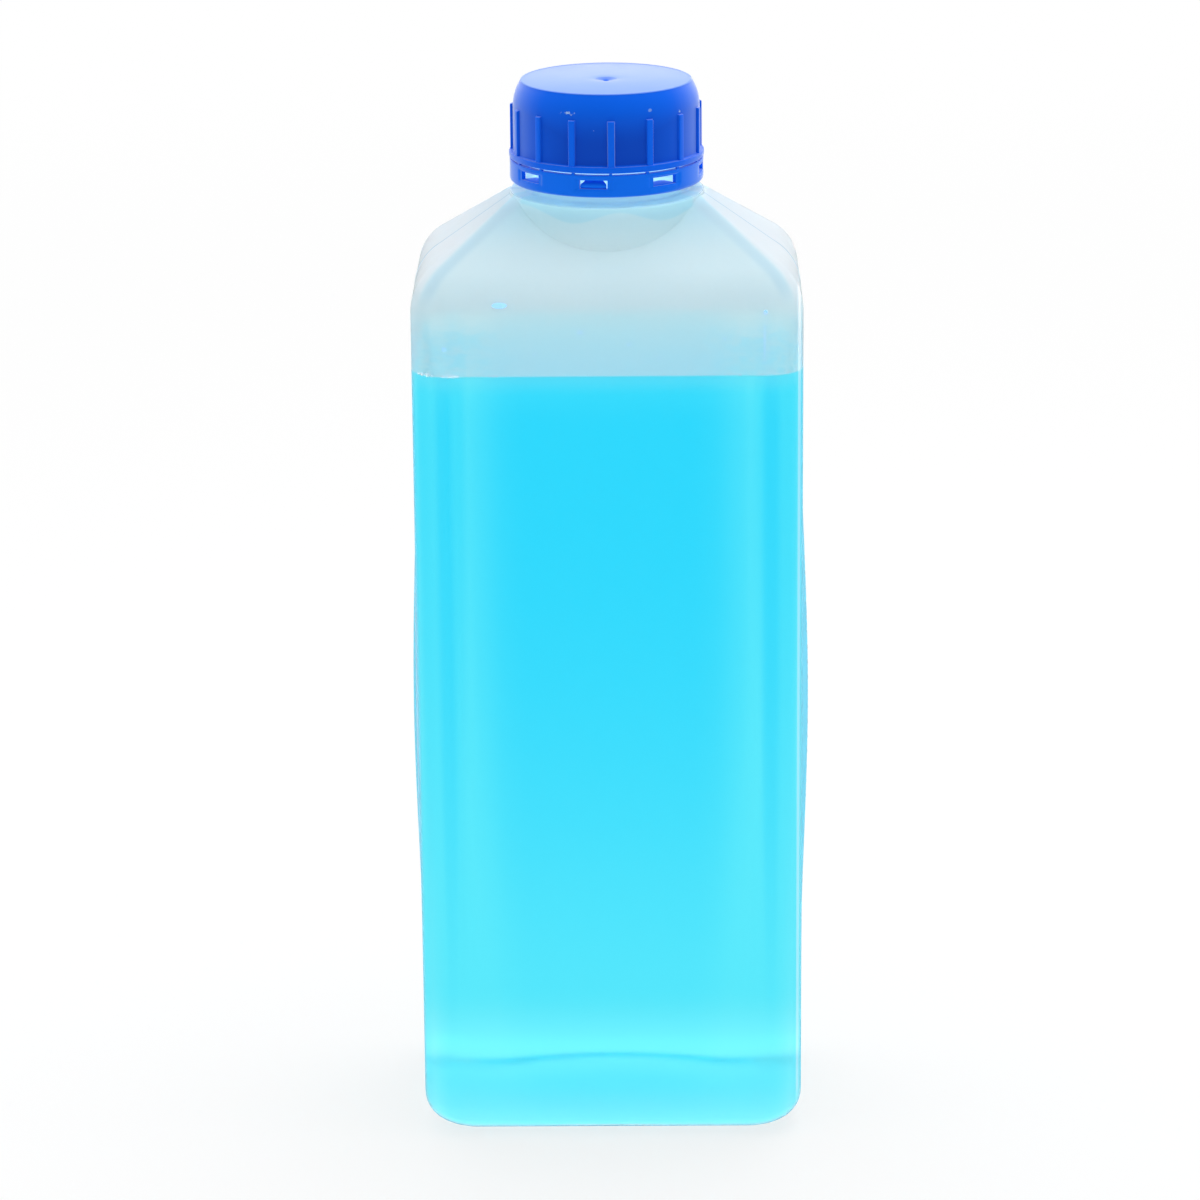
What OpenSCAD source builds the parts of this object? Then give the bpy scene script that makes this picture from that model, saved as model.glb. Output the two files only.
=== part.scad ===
// One-litre coolant bottle: a blow-moulded rectangular bottle with sloped shoulders,
// filled with liquid, and a ribbed screw cap with a tamper-evident band.
// Millimetres, +Z up, front towards -Y, origin at the centre of the base.

/* [Body] */
// Width between the side walls at the corners
body_w = 90.5; // [84:0.5:98]
// Depth between the front and back walls at the corners
body_d = 65.2; // [61:0.2:80]
// Radius of the four upright corners
corner_r = 9; // [5:0.5:13]
// Thickness of the blown wall
wall = 1; // [0.8:0.1:1.4]
// Radius between the walls and the base
heel_r = 9.4; // [6:0.2:11]
// How far each side wall swells out at its middle
side_bulge = 2.1; // [0:0.1:3]
// How far the front and back walls swell out at their middle
front_bulge = 1.5; // [0:0.1:3]
// Height of the arch in the base
push_up_h = 2; // [1:0.1:4]
// Radius of the arch in the base where it meets the feet
push_up_r = 35; // [32:0.5:37]

/* [Shoulder] */
// Height where the shoulder planes would meet the walls
shoulder_z = 208.2; // [180:0.2:240]
// Angle of the shoulder planes above level
shoulder_slope = 35.3; // [33.5:0.1:37]
// Radius between the walls and the shoulder planes
shoulder_r = 13; // [8:0.5:16]

/* [Neck] */
// Width of the ledge round the neck, on top of its round skirt
ledge_w = 3.8; // [3:0.1:4.8]
// Height of the ledge on top of the skirt, above the side shoulders there
ledge_show = 1.3; // [0.8:0.1:2.5]
// Radius of the neck wall between the threads
neck_r = 18.9; // [17:0.1:20]
// Thickness of the neck wall
neck_wall = 2; // [1.5:0.1:2.6]
// Height of the neck above the ledge
neck_h = 23; // [22:0.1:27]
// How far the locking bead stands out of the neck wall
bead_out = 1.7; // [1.2:0.1:1.8]
// Height of the locking bead
bead_h = 1.8; // [1.4:0.1:2]

/* [Thread] */
// Rise of the thread in one turn
lead = 4; // [3.8:0.1:5]
// Turns of thread on the neck and in the cap
thread_turns = 1.5; // [1:0.25:1.5]
// Height of the mouth above the thread's upper end
thread_drop = 5; // [3:0.1:5.4]
// How far the neck's thread stands out
thread_out = 1.1; // [0.9:0.05:1.2]
// Width of the neck's thread at its foot
thread_w = 2.2; // [1.8:0.1:2.3]
// Radial room between each thread and the wall it faces
thread_gap = 0.4; // [0.3:0.05:0.5]

/* [Contents] */
// Height of the liquid's surface
fill_z = 188.2; // [100:0.2:190]
// Room between the liquid and the wall
fill_gap = 0.2; // [0.1:0.05:0.4]

/* [Cap] */
// How far the cap's flat top lies inside its skirt
taper_in = 2; // [1.4:0.1:2.8]
// Thickness of the cap's skirt
cap_wall = 1.3; // [1.1:0.1:1.6]
// Thickness of the cap's top plate
cap_plate = 1.6; // [1.2:0.1:2]
// Height of the cap from its flange to its top
cap_h = 17.9; // [17.2:0.1:19]
// Height of the curved taper below the cap's top
taper_h = 6.2; // [5:0.2:7]
// Height of the flange round the cap's foot
flange_h = 1.4; // [1:0.1:2]
// How far the flange stands out of the skirt
flange_out = 1; // [0.7:0.1:1.2]
// Number of grip ribs
rib_count = 15; // [9:1:24]
// Width of a grip rib
rib_w = 1.5; // [1:0.1:2]
// How far a rib stands out of the skirt
rib_out = 0.7; // [0.4:0.05:0.9]
// Height of the ribs' upper ends below the cap's top
rib_drop = 5.9; // [5:0.1:8]
// Turn of the first rib from the front
rib_turn = 3.3; // [0:0.1:23.9]
// Radius of the dimple at the moulding gate
dimple_r = 2.4; // [1.5:0.1:3]
// Depth of that dimple
dimple_depth = 0.6; // [0.3:0.05:0.9]
// Thickness of the sealing disc in the cap
liner_t = 1.1; // [0.8:0.1:1.4]

/* [Tamper band] */
// Height of the band
band_h = 5.1; // [4.6:0.1:5.2]
// Thickness of the band
band_wall = 1.2; // [1:0.05:1.3]
// Height of the slit between the cap and the band
slit_h = 0.6; // [0.4:0.05:0.8]
// Number of breakable bridges across the slit
bridge_count = 16; // [8:1:24]
// Width of a bridge
bridge_w = 0.8; // [0.5:0.1:1.2]
// Turn of the first bridge from the front
bridge_turn = 2.8; // [0:0.1:22.4]
// Number of windows with a folded tab
window_count = 8; // [4:1:10]
// Width of a window
window_w = 6.6; // [4:0.1:7.4]
// Height of a window
window_h = 2; // [1.6:0.1:2.2]
// Rim of the band above a window
window_drop = 1.2; // [1:0.1:1.4]
// Turn of the first window from the front
window_turn = -7.5; // [-22:0.5:22]
// Thickness of a folded tab
tab_t = 0.6; // [0.4:0.05:0.7]

/* [Hidden] */
// Facets of a full circle
circle_steps = 96;
$fn = circle_steps;
// Smallest overlap that joins two shapes
bite = 0.3;
// Room that lets two solids rest on each other without cutting
seat_gap = 0.05;
// Room between two solids that move past each other
run_gap = 0.3;

// Steps in each rounded corner of the body's outline
corner_steps = 6;
// Points between the corners on each wall
wall_steps = 5;
// Steps in the curves of the heel and of the shoulder
curve_steps = 6;
// Heights of the swollen stretch of the walls, as shares of the shoulder's height
bulge_start = 0.1;
bulge_end = 0.86;
// Rings in that stretch
bulge_rings = 10;
// Share of the corner radius that goes with each millimetre of inset, and its least value
corner_fade = 0.3;
corner_min = 2;

slope_rise = tan(shoulder_slope);
slope_length = sqrt(1 + slope_rise * slope_rise);
skirt_r = neck_r + ledge_w;
ledge_z = shoulder_z + slope_rise * (body_w / 2 - skirt_r) + ledge_show;
mouth_z = ledge_z + neck_h;
bore_r = neck_r - neck_wall;
// Middle of the neck's thread at its lower end
thread_z = mouth_z - thread_drop - lead * thread_turns;
neck_thread_r = neck_r + thread_out;
cap_bore_r = neck_thread_r + thread_gap;
cap_thread_r = neck_r + thread_gap;
cap_r = cap_bore_r + cap_wall;
cap_top_r = cap_r - taper_in;
flange_r = cap_r + flange_out;
// The cap's thread lies under the neck's thread, which holds it down
cap_thread_w = thread_w - 2 * run_gap;
cap_thread_drop = (thread_w + cap_thread_w) / 2;
liner_z = mouth_z + seat_gap;
liner_r = cap_bore_r - run_gap;
plate_z = liner_z + liner_t + seat_gap;
cap_top_z = plate_z + cap_plate;
flange_z = cap_top_z - cap_h;
band_top_z = flange_z - slit_h;
band_z = band_top_z - band_h;
band_r = flange_r - seat_gap * 3;
band_bore_r = band_r - band_wall;
// The folded tabs start at the windows' lower edges and end under the locking bead
tab_turn = 42;
tab_l = window_h + tab_t / 2;
tab_z = band_top_z - window_drop - window_h - bite;
bead_z = tab_z + tab_l * cos(tab_turn) + tab_t * sin(tab_turn) + run_gap;

// Inset of the body's outline at a height; skin is the depth below the outer surface.
// The heel and the fold below the shoulder are arcs, with a straight wall between them.
function fold_z(skin) = shoulder_z - skin * (slope_length - slope_rise);
function fold_r(skin) = shoulder_r - skin;
function fold_reach(skin) = fold_r(skin) * tan((90 - shoulder_slope) / 2);
function fold_start(skin) = fold_z(skin) - fold_reach(skin);
function fold_end(skin) = fold_start(skin) + fold_r(skin) * cos(shoulder_slope);
function arc_inset(r, rise) = r - sqrt(max(0, r * r - rise * rise));
function inset(z, skin) =
    z < heel_r ? arc_inset(heel_r - skin, heel_r - z) :
    z < fold_start(skin) ? 0 :
    z < fold_end(skin) ? arc_inset(fold_r(skin), z - fold_start(skin)) :
    (z - fold_z(skin)) / slope_rise;

// Share of the full swell at a height
function swell(z) =
    let (low = bulge_start * shoulder_z, high = bulge_end * shoulder_z)
    z <= low || z >= high ? 0 : pow(sin(180 * (z - low) / (high - low)), 2);

// Corner radius of the outline at an inset
function ring_corner(in, half_short, skin) =
    min(max(corner_min, corner_r - skin - corner_fade * in), half_short - bite);

// Height where the shoulder planes of the narrower sides would nearly meet
function ridge_z(skin) =
    fold_z(skin) + slope_rise * (min(body_w, body_d) / 2 - skin - corner_min - bite);

// Points from one corner's end to the next corner's start, swollen in the middle
function wall_points(from, to, out, z) = [
    for (i = [1 : wall_steps])
        let (share = i / (wall_steps + 1), push = 4 * share * (1 - share))
        [from.x + (to.x - from.x) * share + out.x * push,
         from.y + (to.y - from.y) * share + out.y * push, z]
];

// One closed outline of the body, counterclockwise from the right wall's back end
function ring(z, skin) =
    let (in = inset(z, skin), half_w = body_w / 2 - skin - in, half_d = body_d / 2 - skin - in,
         r = ring_corner(in, min(half_w, half_d), skin),
         side = side_bulge * swell(z), front = front_bulge * swell(z),
         centres = [[half_w - r, half_d - r], [r - half_w, half_d - r],
                    [r - half_w, r - half_d], [half_w - r, r - half_d]],
         out = [[0, front], [-side, 0], [0, -front], [side, 0]])
    [for (k = [0 : 3])
        let (corner = [for (j = [0 : corner_steps])
                 let (turn = 90 * (k + j / corner_steps))
                 [centres[k].x + r * cos(turn), centres[k].y + r * sin(turn), z]],
             next = centres[(k + 1) % 4], turn = 90 * (k + 1),
             start = [next.x + r * cos(turn), next.y + r * sin(turn)])
        each concat(corner, wall_points(corner[corner_steps], start, out[k], z))];

// Heights of the outlines from the base to a top height
function heel_heights(skin) = [
    for (i = [0 : curve_steps]) heel_r - (heel_r - skin) * cos(90 * i / curve_steps)
];
function bulge_heights() = [
    for (i = [0 : bulge_rings])
        shoulder_z * (bulge_start + (bulge_end - bulge_start) * i / bulge_rings)
];
function fold_heights(skin) = [
    for (i = [0 : curve_steps])
        fold_start(skin) + fold_r(skin) * sin((90 - shoulder_slope) * i / curve_steps)
];
function heights(top, skin) = concat(
    [for (z = concat(heel_heights(skin), bulge_heights(), fold_heights(skin))) if (z < top - bite) z],
    [top]
);

// Middle of a list of points
function middle(ring) = [for (one = ring) 1] * ring / len(ring);

// Closed solid through a stack of outlines that all have the same number of points
module loft(rings) {
    n = len(rings[0]);
    last = len(rings) - 1;
    foot = (last + 1) * n;
    points = [for (one = rings) each one, middle(rings[0]), middle(rings[last])];
    sides = [for (i = [0 : last - 1], j = [0 : n - 1])
        let (a = i * n + j, b = i * n + (j + 1) % n)
        each [[a, a + n, b], [b, a + n, b + n]]];
    ends = [for (j = [0 : n - 1])
        let (next = (j + 1) % n)
        each [[foot, j, next], [foot + 1, last * n + next, last * n + j]]];
    polyhedron(points, concat(sides, ends), convexity = 4);
}

// The body's full form up to a height, skin deep below its outer surface
module body_form(top, skin) {
    loft([for (z = heights(min(top, ridge_z(skin)), skin)) ring(z, skin)]);
}

// The arch that the base leaves free, raised by the depth below the outer surface
module base_arch(skin) {
    arch_steps = 8;
    reach = push_up_r * 1.5;
    rotate_extrude()
        polygon(concat([[0, -reach]],
            [for (i = [0 : arch_steps])
                let (r = reach * i / arch_steps)
                [r, skin + push_up_h * (1 - pow(r / push_up_r, 2))]],
            [[reach, -reach]]));
}

// A helical ridge from a wall at root_r to its crest, fading out at both ends
module thread_ridge(root_r, crest_r, root_w, crest_w, z) {
    step_turn = 12;
    fade_turn = 30;
    full_turn = 360 * thread_turns;
    count = round(full_turn / step_turn);
    sections = [for (i = [0 : count])
        let (turn = full_turn * i / count,
             share = min(1, max(0.1, min(turn, full_turn - turn) / fade_turn)),
             r = root_r + (crest_r - root_r) * share,
             mid = z + lead * turn / 360,
             low = [[root_r, mid - root_w / 2], [r, mid - crest_w / 2],
                    [r, mid + crest_w / 2], [root_r, mid + root_w / 2]])
        [for (p = crest_r < root_r ? low : [for (k = [3 : -1 : 0]) low[k]])
            [p.x * cos(turn), p.x * sin(turn), p.y]]];
    loft(sections);
}

// Places its children at equal turns round the axis, the first at a turn from the front
module around(count, first) {
    for (i = [0 : count - 1])
        rotate([0, 0, first - 90 + 360 * i / count]) children();
}

module neck() {
    skirt_depth = 12;
    edge = 0.8;
    lip = 0.5;
    translate([0, 0, ledge_z - skirt_depth])
        cylinder(r = skirt_r, h = skirt_depth - edge);
    translate([0, 0, ledge_z - edge])
        cylinder(r1 = skirt_r, r2 = skirt_r - edge / 2, h = edge);
    translate([0, 0, ledge_z - wall])
        cylinder(r = neck_r, h = mouth_z - lip - ledge_z + wall);
    translate([0, 0, mouth_z - lip])
        cylinder(r1 = neck_r, r2 = neck_r - lip, h = lip);
    bead_r = neck_r + bead_out;
    rotate_extrude()
        polygon([[neck_r - bite, bead_z], [bead_r, bead_z], [bead_r, bead_z + bead_h / 3],
                 [neck_r, bead_z + bead_h], [neck_r - bite, bead_z + bead_h]]);
    thread_ridge(neck_r - bite, neck_thread_r, thread_w + bite, thread_w / 2, thread_z);
}

module bottle_hollow() {
    skirt_depth = 11;
    difference() {
        body_form(ledge_z - 2 * wall, wall);
        base_arch(wall);
    }
    translate([0, 0, ledge_z - wall - skirt_depth])
        cylinder(r = skirt_r - wall, h = skirt_depth);
    translate([0, 0, ledge_z - 2 * wall])
        cylinder(r = bore_r, h = neck_h + 3 * wall);
}

module bottle() {
    color([0.8, 0.91, 0.95, 0.5])
        difference() {
            union() {
                body_form(ledge_z - bite, 0);
                neck();
            }
            base_arch(0);
            bottle_hollow();
        }
}

module coolant() {
    color([0.16, 0.84, 1])
        difference() {
            body_form(fill_z, wall + fill_gap);
            base_arch(wall + fill_gap);
        }
}

// A plate folded inwards and up from the lower edge of a window
module folded_tab() {
    translate([band_bore_r + tab_t / 2, 0, tab_z])
        rotate([0, -tab_turn, 0])
            translate([0, -window_w / 2 + run_gap, 0])
                cube([tab_t, window_w - 2 * run_gap, tab_l]);
}

module tamper_band() {
    edge = 0.5;
    color([0.03, 0.28, 0.86])
        union() {
            difference() {
                rotate_extrude()
                    polygon([[band_bore_r, band_z], [band_r - edge, band_z],
                             [band_r, band_z + edge], [band_r, band_top_z],
                             [band_bore_r, band_top_z]]);
                around(window_count, window_turn)
                    translate([band_bore_r - band_wall, -window_w / 2,
                               band_top_z - window_drop - window_h])
                        cube([band_wall * 3, window_w, window_h]);
            }
            around(window_count, window_turn) folded_tab();
            around(bridge_count, bridge_turn)
                translate([band_bore_r + bite, -bridge_w / 2, band_top_z - bite])
                    cube([band_wall - bite - seat_gap, bridge_w, slit_h + bite - seat_gap]);
        }
}

module cap_liner() {
    color([0.93, 0.93, 0.9])
        translate([0, 0, liner_z]) cylinder(r = liner_r, h = liner_t);
}

// The curved taper from the barrel up to the flat top, as points of the cap's outline
function taper_points() =
    let (steps = 8, edge = 0.3, drop = taper_h - edge, reach = cap_r - cap_top_r,
         r = (reach * reach + drop * drop) / (2 * reach))
    concat([for (i = [0 : steps])
        let (rise = drop * i / steps)
        [cap_r - arc_inset(r, rise), cap_top_z - taper_h + rise]],
        [[cap_top_r - edge, cap_top_z]]);

module grip_rib() {
    foot = flange_h / 2;
    depth = cap_wall / 2 + rib_out;
    top = cap_top_z - rib_drop - rib_w / 2;
    translate([cap_r - cap_wall / 2, -rib_w / 2, flange_z + foot])
        cube([depth, rib_w, top - flange_z - foot]);
    translate([cap_r - cap_wall / 2, 0, top])
        rotate([0, 90, 0]) cylinder(d = rib_w, h = depth, $fn = 24);
}

module cap() {
    edge = 0.3;
    lead_in = 0.5;
    color([0.03, 0.3, 0.9])
        union() {
            difference() {
                union() {
                    rotate_extrude()
                        polygon(concat([[0, flange_z], [flange_r - edge, flange_z],
                            [flange_r, flange_z + edge], [flange_r, flange_z + flange_h - edge],
                            [flange_r - edge, flange_z + flange_h], [cap_r, flange_z + flange_h]],
                            taper_points(), [[0, cap_top_z]]));
                    around(rib_count, rib_turn) grip_rib();
                }
                translate([0, 0, flange_z - bite])
                    cylinder(r = cap_bore_r, h = plate_z - flange_z + bite);
                translate([0, 0, flange_z - bite])
                    cylinder(r1 = cap_bore_r + lead_in + bite, r2 = cap_bore_r, h = lead_in + bite);
                rotate_extrude()
                    polygon([[0, cap_top_z - dimple_depth], [dimple_r / 4, cap_top_z - dimple_depth],
                             [dimple_r, cap_top_z], [dimple_r, cap_top_z + bite],
                             [0, cap_top_z + bite]]);
            }
            thread_ridge(cap_bore_r + bite, cap_thread_r, cap_thread_w + bite, cap_thread_w / 2,
                         thread_z - cap_thread_drop);
        }
}

bottle();
coolant();
tamper_band();
cap_liner();
cap();
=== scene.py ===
import math

import bpy
import numpy as np
from mathutils import Matrix, Vector


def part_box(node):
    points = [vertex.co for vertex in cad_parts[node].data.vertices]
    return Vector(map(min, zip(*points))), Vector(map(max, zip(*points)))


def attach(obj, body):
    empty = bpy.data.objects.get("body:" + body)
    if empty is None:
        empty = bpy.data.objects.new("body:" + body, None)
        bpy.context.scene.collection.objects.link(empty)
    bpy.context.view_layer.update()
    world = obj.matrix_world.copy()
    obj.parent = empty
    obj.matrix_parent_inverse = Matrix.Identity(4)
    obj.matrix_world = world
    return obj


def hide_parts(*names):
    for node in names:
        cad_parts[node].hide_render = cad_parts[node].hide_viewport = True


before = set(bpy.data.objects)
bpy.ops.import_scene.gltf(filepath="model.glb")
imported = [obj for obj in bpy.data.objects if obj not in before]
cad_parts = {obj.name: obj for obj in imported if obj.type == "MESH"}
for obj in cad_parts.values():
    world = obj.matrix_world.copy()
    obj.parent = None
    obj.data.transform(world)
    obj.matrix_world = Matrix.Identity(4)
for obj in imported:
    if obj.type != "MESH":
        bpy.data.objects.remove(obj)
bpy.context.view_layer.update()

# A one-litre bottle of cyan coolant: translucent blown bottle, liquid, ribbed blue cap and tamper band.
# Sizes below are in millimetres, as in the part's source, and become metres in make_piece.

MM = 0.001
SCENE = bpy.context.scene


def box_mm(node):
    """Lowest and highest corner of a CAD node, in millimetres."""
    low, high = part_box(node)
    return low / MM, high / MM


BOTTLE_HIGH = box_mm("bottle")[1]
COOLANT_HIGH = box_mm("coolant")[1]
CAP_LOW, CAP_HIGH = box_mm("cap")
BAND_LOW, BAND_HIGH = box_mm("tamper_band")
LINER_LOW, LINER_HIGH = box_mm("cap_liner")

# Body of the bottle. Its wall is thinner than the part's, so that the liquid colours it to its outline.
WALL = 0.15
SIDE_BULGE = 2.1
FRONT_BULGE = 1.5
BODY_W = 2 * (BOTTLE_HIGH.x - SIDE_BULGE)
BODY_D = 2 * (BOTTLE_HIGH.y - FRONT_BULGE)
CORNER_R = 9.0
CORNER_FADE = 0.3
CORNER_MIN = 2.0
HEEL_R = 9.4
PUSH_UP_H = 2.0
PUSH_UP_R = 35.0
BULGE_SPAN = (0.1, 0.86)

# Label panels: how deep they lie, how far they stay from the walls' ends, and their soft edges
FRONT_PANEL = 0.35
SIDE_PANEL = 0.12
PANEL_MARGIN = 6.2
PANEL_EDGE = 2.6
PANEL_Z = (34.0, 197.0)
PANEL_END = 9.0
SEAM_OUT = 0.12

# Shoulder and neck
SHOULDER_Z = 208.2
SLOPE = math.tan(math.radians(35.3))
SLOPE_TURN = math.radians(90 - 35.3)
SHOULDER_R = 13.0
FLANGE_R = CAP_HIGH.x
SKIRT_R = FLANGE_R
LEDGE_SHOW = 1.3
LEDGE_Z = SHOULDER_Z + SLOPE * (BODY_W / 2 - SKIRT_R) + LEDGE_SHOW
MOUTH_Z = BOTTLE_HIGH.z
NECK_R = 18.9
BORE_R = 16.9
BEAD_OUT = 1.7
BEAD_H = 1.8
BEAD_Z = 231.74
LEAD = 4.0
THREAD_TURNS = 1.5
THREAD_DROP = 5.0
THREAD_OUT = 1.1
THREAD_W = 2.2
THREAD_Z = MOUTH_Z - THREAD_DROP - LEAD * THREAD_TURNS

# Liquid
FILL_Z = COOLANT_HIGH.z
MENISCUS = 0.8
MENISCUS_REACH = 1.3
LIQUID_GAP = 0.02

# Cap
CAP_TOP_Z = CAP_HIGH.z
FLANGE_Z = CAP_LOW.z
FLANGE_H = 1.4
FLANGE_OUT = 1.0
CAP_R = FLANGE_R - FLANGE_OUT
CAP_BORE_R = CAP_R - 1.3
CAP_THREAD_OUT = 1.1
CAP_THREAD_W = 1.6
CAP_THREAD_DROP = 1.9
PLATE_Z = CAP_TOP_Z - 1.6
TAPER_IN = 1.8
TAPER_H = 6.2
RIB_COUNT = 15
RIB_W = 1.4
RIB_OUT = 0.7
RIB_DROP = 5.9
RIB_TURN = 3.3
RIM_W = 0.5
RIM_H = 0.05
DIMPLE_R = 3.4
DIMPLE_DEPTH = 0.5
DIMPLE_NIB = 0.3

# Tamper band
BAND_Z = BAND_LOW.z
BAND_TOP_Z = FLANGE_Z - 0.42
BAND_R = BAND_HIGH.x
BAND_BORE_R = BAND_R - 1.2
WINDOW_COUNT = 8
WINDOW_TURN = -7.5
WINDOW_HALF_TURN = 8.4
WINDOW_DROP = 1.2
WINDOW_H = 2.0
WINDOW_TOP_Z = BAND_TOP_Z - WINDOW_DROP
WINDOW_LOW_Z = WINDOW_TOP_Z - WINDOW_H
RECESS_HALF_TURN = 11.2
RECESS_DEPTH = 0.22
BRIDGE_COUNT = 16
BRIDGE_TURN = 2.8
BRIDGE_W = 0.8

# Points round the body's outline: in each corner, along a long wall and along a short wall
CORNER_STEPS = 14
LONG_STEPS = 58
SHORT_STEPS = 30


def smooth(low, high, x):
    """Rises smoothly from 0 at low to 1 at high."""
    t = np.clip((x - low) / (high - low), 0, 1)
    return t * t * (3 - 2 * t)


def arc_inset(r, rise):
    return r - np.sqrt(np.maximum(0, r * r - rise * rise))


def fold_z(skin):
    return SHOULDER_Z - skin * (math.hypot(1, SLOPE) - SLOPE)


def fold_start(skin):
    return fold_z(skin) - (SHOULDER_R - skin) * math.tan(SLOPE_TURN / 2)


def corner_radius(inset, skin):
    return np.maximum(CORNER_MIN, CORNER_R - skin - CORNER_FADE * inset)


def swell(z):
    """Share of the full swell of the walls at a height."""
    low, high = (share * SHOULDER_Z for share in BULGE_SPAN)
    return math.sin(math.pi * min(1, max(0, (z - low) / (high - low)))) ** 2


def panel(z):
    """Share of the label panels' depth at a height."""
    low, high = PANEL_Z
    return float(smooth(low, low + PANEL_END, z) * (1 - smooth(high - PANEL_END, high, z)))


def wall_push(share, length, z, skin, long_wall):
    """How far a wall's points stand out of the straight wall: swell, sunk label panel and mould seam."""
    push = (FRONT_BULGE if long_wall else SIDE_BULGE) * swell(z) * 4 * share * (1 - share)
    edge = length * np.minimum(share, 1 - share) - (PANEL_MARGIN - CORNER_R)
    sunk = smooth(PANEL_MARGIN - PANEL_EDGE / 2, PANEL_MARGIN + PANEL_EDGE / 2, edge) * panel(z)
    push = push - (FRONT_PANEL if long_wall else SIDE_PANEL) * sunk
    if skin == 0 and not long_wall:
        push = push + SEAM_OUT * (np.abs(share - 0.5) * length < 0.05)
    return push


def wall_shares(length, long_wall):
    """Places along a wall; a short wall has a close pair beside its middle for the mould seam."""
    steps = LONG_STEPS if long_wall else SHORT_STEPS
    shares = np.arange(1, steps) / steps
    if long_wall:
        return shares
    beside = 0.25 / length
    return np.sort(np.append(shares, [0.5 - beside, 0.5 + beside]))


def outline(inset, z, skin):
    """One closed outline of the body, counterclockwise from the right wall's back end."""
    half = np.array([BODY_W / 2, BODY_D / 2]) - skin - inset
    r = float(min(corner_radius(inset, skin), half.min() - 0.3))
    points = []
    signs = ((1, 1), (-1, 1), (-1, -1), (1, -1))
    for k in range(4):
        turns = math.pi / 2 * (k + np.arange(CORNER_STEPS + 1) / CORNER_STEPS)
        corner = np.array(signs[k]) * (half - r) + r * np.stack([np.cos(turns), np.sin(turns)], 1)
        normal = np.array([math.cos(turns[-1]), math.sin(turns[-1])])
        end = np.array(signs[(k + 1) % 4]) * (half - r) + r * normal
        long_wall = k % 2 == 0
        length = float(np.hypot(*(end - corner[-1])))
        share = wall_shares(length, long_wall)[:, None]
        push = wall_push(share, length, z, skin, long_wall)
        points += [corner, corner[-1] * (1 - share) + end * share + normal * push]
    return np.concatenate(points)


def roof_inset(x, y, skin):
    """Inset of the rounded outline that passes through each point of the shoulder's plan."""
    low = np.zeros_like(x)
    high = np.full_like(x, BODY_D / 2 - skin - CORNER_MIN)
    for _ in range(40):
        t = (low + high) / 2
        r = corner_radius(t, skin)
        qx = np.abs(x) - (BODY_W / 2 - skin - t - r)
        qy = np.abs(y) - (BODY_D / 2 - skin - t - r)
        distance = np.hypot(np.maximum(qx, 0), np.maximum(qy, 0)) + np.minimum(np.maximum(qx, qy), 0) - r
        inside = distance < 0
        low = np.where(inside, t, low)
        high = np.where(inside, high, t)
    return (low + high) / 2


def with_z(xy, z):
    return np.column_stack([xy, np.broadcast_to(z, len(xy))])


def over_arch(xy, z, skin):
    """A ring at a height, or on the arched base where that is higher."""
    arch = skin + PUSH_UP_H * (1 - (xy * xy).sum(1) / PUSH_UP_R ** 2)
    return with_z(xy, np.maximum(z, arch))


def foot_rings(skin, base_steps, heel_steps):
    """Rings from the base's middle to the top of the heel, over the arched base."""
    heel = HEEL_R - skin
    foot = outline(heel, skin, skin)
    rings = [over_arch(foot * share, skin, skin) for share in np.linspace(0.04, 0.97, base_steps)]
    for turn in np.linspace(0, math.pi / 2, heel_steps):
        z = HEEL_R - heel * math.cos(turn)
        rings.append(over_arch(outline(heel * (1 - math.sin(turn)), z, skin), z, skin))
    return rings


def wall_rings(skin, low, high, steps):
    return [with_z(outline(0, z, skin), z) for z in np.linspace(low, high, steps)]


def fold_rings(skin, steps):
    """Rings round the fold from the wall into the shoulder."""
    r = SHOULDER_R - skin
    rings = []
    for turn in np.linspace(0, SLOPE_TURN, steps):
        z = fold_start(skin) + r * math.sin(turn)
        rings.append(with_z(outline(r * (1 - math.cos(turn)), z, skin), z))
    return rings


def slope_rings(edge, neck_r, skin, count):
    """Rings from the fold's end up the shoulder planes to a circle."""
    plan = edge[:, :2]
    reach = np.hypot(plan[:, 0], plan[:, 1])
    end = plan / reach[:, None] * neck_r
    rings = []
    for share in np.linspace(0, 1, count)[1:]:
        xy = plan * (1 - share) + end * share
        rings.append(with_z(xy, fold_z(skin) + SLOPE * roof_inset(*xy.T, skin)))
    return rings


def helix_share(z, turn, start_z, width, crest):
    """How far a right-hand thread stands out at a height and a turn, from 0 to 1."""
    height = np.zeros_like(turn)
    for lap in (0, 1):
        along = np.mod(turn, 2 * math.pi) + 2 * math.pi * lap
        ends = np.minimum(along, 2 * math.pi * THREAD_TURNS - along)
        middle = start_z + LEAD * along / (2 * math.pi)
        side = (width / 2 - np.abs(z - middle)) / ((width - crest) / 2)
        height = np.maximum(height, np.clip(side, 0, 1) * smooth(0, math.radians(30), ends))
    return height


def thread_heights(start_z, width, step):
    return np.arange(start_z - width / 2 - step, start_z + LEAD * THREAD_TURNS + width / 2 + step, step)


def circle(r, z, turn):
    """A ring of radius r, which may differ by turn, at a height."""
    return np.column_stack([r * np.cos(turn), r * np.sin(turn), np.broadcast_to(z, len(turn))])


def arc_rings(r, z, size, start, end, steps, turn):
    """Rings along an arc round radius r and height z; start and end count quarter turns."""
    quarter = math.pi / 2
    return [circle(r + size * math.cos(a), z + size * math.sin(a), turn)
            for a in np.linspace(start * quarter, end * quarter, steps)]


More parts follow.
